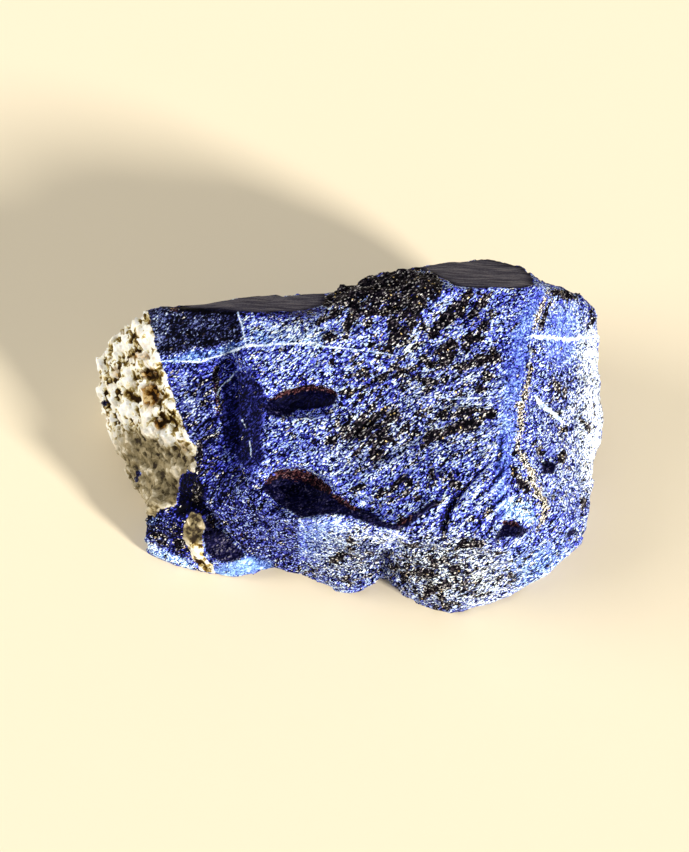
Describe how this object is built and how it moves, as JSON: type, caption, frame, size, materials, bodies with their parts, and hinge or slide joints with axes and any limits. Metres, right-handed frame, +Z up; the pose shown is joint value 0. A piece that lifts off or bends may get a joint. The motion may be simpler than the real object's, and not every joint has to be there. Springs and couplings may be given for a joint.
{
  "type": "rough lapis lazuli",
  "caption": "Rough broken stone of blue lapis lazuli with pale veins and a cream calcite crust at one end, lying on its flat underside; a display or hand specimen.",
  "frame": {"origin": "middle of the stone's outline seen from above, on the surface that it lies on", "axes": "+Z up, +X along the stone's length towards the end away from the calcite crust, -Y towards the front, the side that the broad main face slopes down to"},
  "size_m": [0.0956, 0.0638, 0.0363],
  "materials": {
    "lapis_lazuli": "rough broken rock, granular blue with dark patches, white veins and a cream crust"
  },
  "bodies": {
    "root": {"lapis_lazuli_stone": "lapis_lazuli"}
  },
  "joints": []
}
